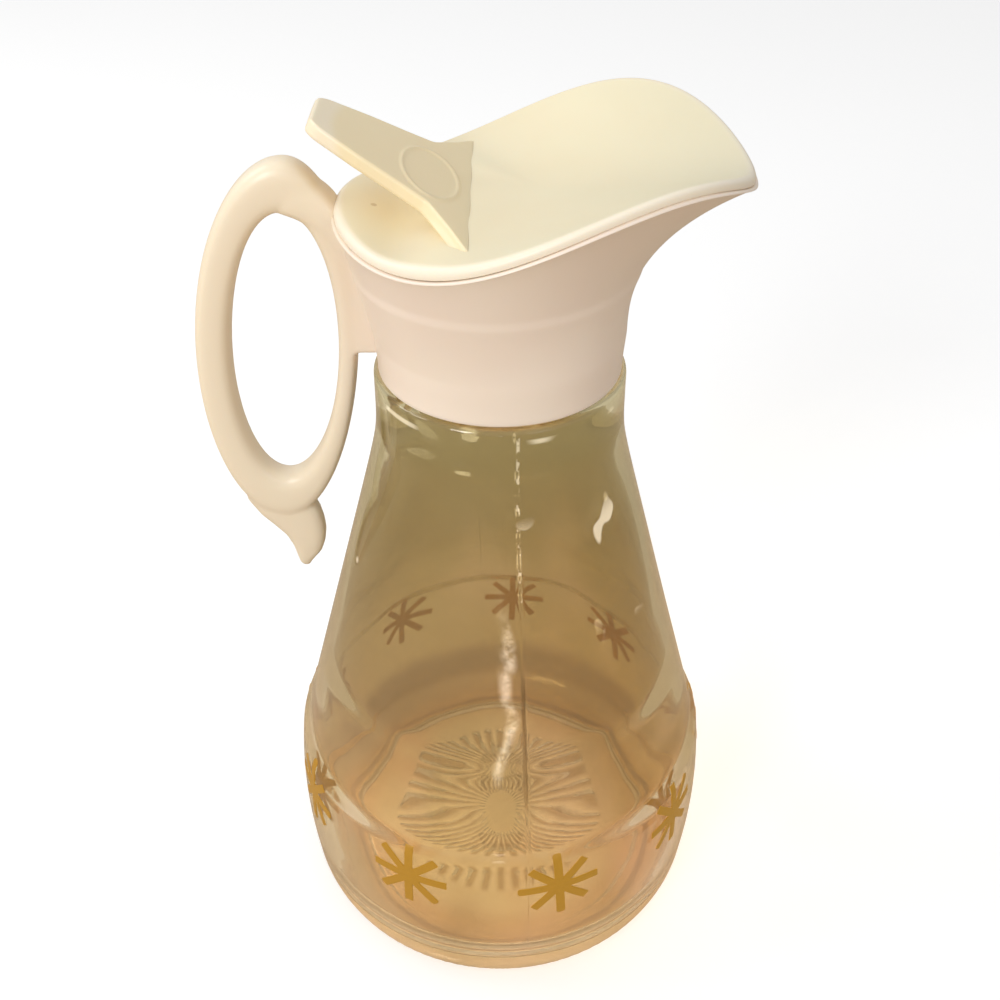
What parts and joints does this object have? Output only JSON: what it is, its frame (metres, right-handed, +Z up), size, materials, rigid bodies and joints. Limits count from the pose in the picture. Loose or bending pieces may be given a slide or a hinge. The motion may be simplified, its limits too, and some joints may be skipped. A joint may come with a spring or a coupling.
{
  "type": "syrup dispenser",
  "caption": "Clear glass pouring bottle with a round bulb, under a moulded screw cap with a loop handle, a broad spout and a sprung thumb lid over the whole opening.",
  "frame": {"origin": "centre of the ring that the bottle stands on, at table height", "axes": "+Z up along the bottle's axis, +X towards the spout, so the loop handle is at -X and the plane y = 0 mirrors the outside"},
  "size_m": [0.0996, 0.0904, 0.1766],
  "materials": {
    "glass": "clear soda-lime glass with a warm tint, fire-polished",
    "seal": "soft pale washer",
    "ivory_plastic": "ivory plastic, satin gloss",
    "ivory_lid": "ivory plastic, slightly yellower, satin gloss",
    "steel": "drawn pin",
    "spring_steel": "spring wire"
  },
  "bodies": {
    "bottle": {"glass_bottle": "glass"},
    "seal": {"neck_seal": "seal"},
    "cap": {"cap_body": "ivory_plastic", "hinge_pin": "steel"},
    "lid": {"lid": "ivory_lid", "return_spring": "spring_steel"}
  },
  "joints": [
    {"name": "cap_rise", "type": "slide", "parent": "bottle", "child": "seal", "axis": [0, 0, 1], "range_m": [0, 0.005]},
    {"name": "cap_turn", "type": "hinge", "parent": "seal", "child": "cap", "pos_m": [0, 0, 0], "axis": [0, 0, 1], "range_deg": [0, 450]},
    {"name": "lid_hinge", "type": "hinge", "parent": "cap", "child": "lid", "pos_m": [-0.024, 0, 0.1589], "axis": [0, -1, 0], "range_deg": [0, 27], "stiffness_Nm_per_rad": 0.02, "springref_deg": -28.65}
  ],
  "couplings": [
    {"joint": "cap_turn", "follows": "cap_rise", "rad_per_m": 1570.8}
  ]
}
